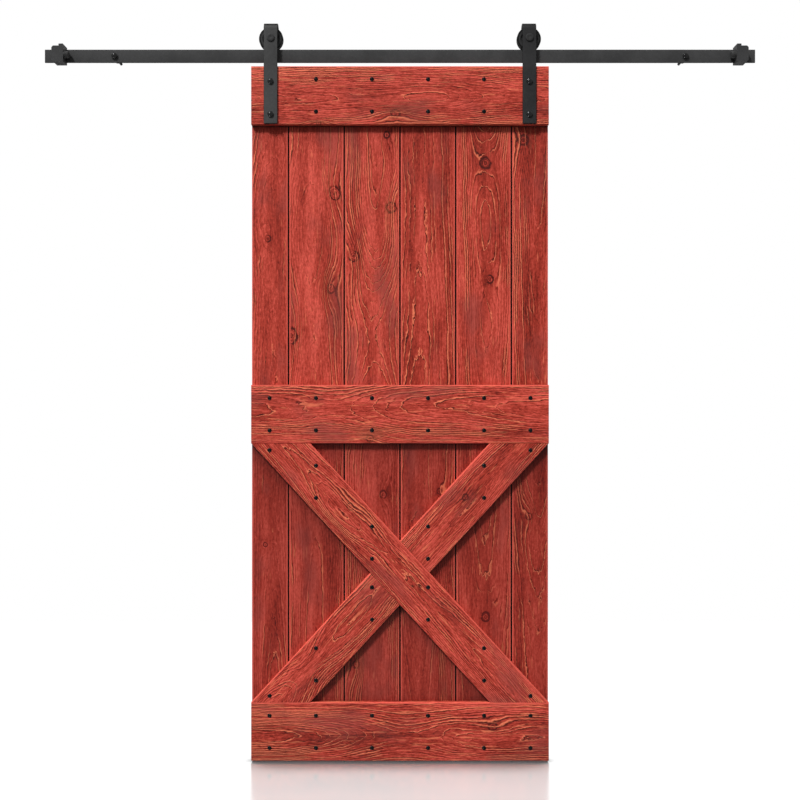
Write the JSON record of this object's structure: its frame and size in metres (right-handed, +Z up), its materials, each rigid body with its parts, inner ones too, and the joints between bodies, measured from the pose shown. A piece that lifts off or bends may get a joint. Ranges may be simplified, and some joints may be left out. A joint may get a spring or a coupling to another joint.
{
  "type": "sliding barn door",
  "caption": "Plank door panel with rails and a K brace, hung by strap hangers with grooved wheels from a flat-bar wall track; it slides sideways between end stops.",
  "frame": {"origin": "on the wall plane, at the middle of the line of wall bolts that fix the track", "axes": "+X to the right along the track, +Y into the wall, +Z up"},
  "size_m": [2.19, 0.1075, 2.2688],
  "materials": {
    "plank_wood": "red stained pine, open grain",
    "rail_wood": "red stained pine, open grain",
    "brace_wood": "red stained pine, open grain",
    "powder_coat": "matte dark powder coat on steel",
    "wheel_coat": "matte dark powder coat on turned steel",
    "black_fixing": "black oxide steel",
    "bumper_rubber": "black moulded rubber",
    "zinc_steel": "zinc plated steel",
    "bearing_steel": "ground bearing steel",
    "shield_black": "black seal",
    "cage_nylon": "moulded nylon"
  },
  "bodies": {
    "track": {"track_bar": "powder_coat", "wall_spacer_1": "powder_coat", "wall_spacer_2": "powder_coat", "wall_spacer_3": "powder_coat", "wall_spacer_4": "powder_coat", "lag_bolt_1": "black_fixing", "lag_bolt_2": "black_fixing", "lag_bolt_3": "black_fixing", "lag_bolt_4": "black_fixing", "lag_washers": "black_fixing", "stop_left": "powder_coat", "stop_right": "powder_coat", "stop_bumper_left": "bumper_rubber", "stop_bumper_right": "bumper_rubber", "stop_screws_left": "black_fixing", "stop_screws_right": "black_fixing"},
    "door": {"plank_1": "plank_wood", "plank_2": "plank_wood", "plank_3": "plank_wood", "plank_4": "plank_wood", "plank_5": "plank_wood", "plank_6": "plank_wood", "top_rail": "rail_wood", "middle_rail": "rail_wood", "bottom_rail": "rail_wood", "brace_long": "brace_wood", "brace_upper": "brace_wood", "brace_lower": "brace_wood", "top_rail_screws": "black_fixing", "middle_rail_screws": "black_fixing", "bottom_rail_screws": "black_fixing", "long_brace_screws": "black_fixing", "upper_brace_screws": "black_fixing", "lower_brace_screws": "black_fixing", "strap_left": "powder_coat", "strap_right": "powder_coat", "strap_bolts_left": "black_fixing", "strap_bolts_right": "black_fixing", "strap_nuts_left": "black_fixing", "strap_nuts_right": "black_fixing", "axle_bolt_left": "black_fixing", "axle_bolt_right": "black_fixing", "axle_nut_left": "black_fixing", "axle_nut_right": "black_fixing", "axle_spacers_left": "zinc_steel", "axle_spacers_right": "zinc_steel", "bearing_inner_left": "bearing_steel", "bearing_inner_right": "bearing_steel"},
    "wheel_left": {"wheel_left": "wheel_coat", "bearing_outer_left": "bearing_steel", "bearing_shields_left": "shield_black"},
    "wheel_right": {"wheel_right": "wheel_coat", "bearing_outer_right": "bearing_steel", "bearing_shields_right": "shield_black"},
    "balls_left": {"bearing_balls_left": "bearing_steel", "bearing_cage_left": "cage_nylon"},
    "balls_right": {"bearing_balls_right": "bearing_steel", "bearing_cage_right": "cage_nylon"}
  },
  "joints": [
    {"name": "door_slide", "type": "slide", "parent": "track", "child": "door", "axis": [1, 0, 0], "range_m": [-0.597, 0.597]},
    {"name": "wheel_left_spin", "type": "hinge", "parent": "door", "child": "wheel_left", "pos_m": [-0.397, -0.035, 0.0512], "axis": [0, 1, 0], "continuous": true},
    {"name": "wheel_right_spin", "type": "hinge", "parent": "door", "child": "wheel_right", "pos_m": [0.397, -0.035, 0.0512], "axis": [0, 1, 0], "continuous": true},
    {"name": "balls_left_orbit", "type": "hinge", "parent": "door", "child": "balls_left", "pos_m": [-0.397, -0.035, 0.0512], "axis": [0, 1, 0], "continuous": true},
    {"name": "balls_right_orbit", "type": "hinge", "parent": "door", "child": "balls_right", "pos_m": [0.397, -0.035, 0.0512], "axis": [0, 1, 0], "continuous": true}
  ],
  "couplings": [
    {"joint": "wheel_left_spin", "follows": "door_slide", "rad_per_m": 32.258},
    {"joint": "wheel_right_spin", "follows": "door_slide", "rad_per_m": 32.258},
    {"joint": "balls_left_orbit", "follows": "door_slide", "rad_per_m": 19.968},
    {"joint": "balls_right_orbit", "follows": "door_slide", "rad_per_m": 19.968}
  ]
}
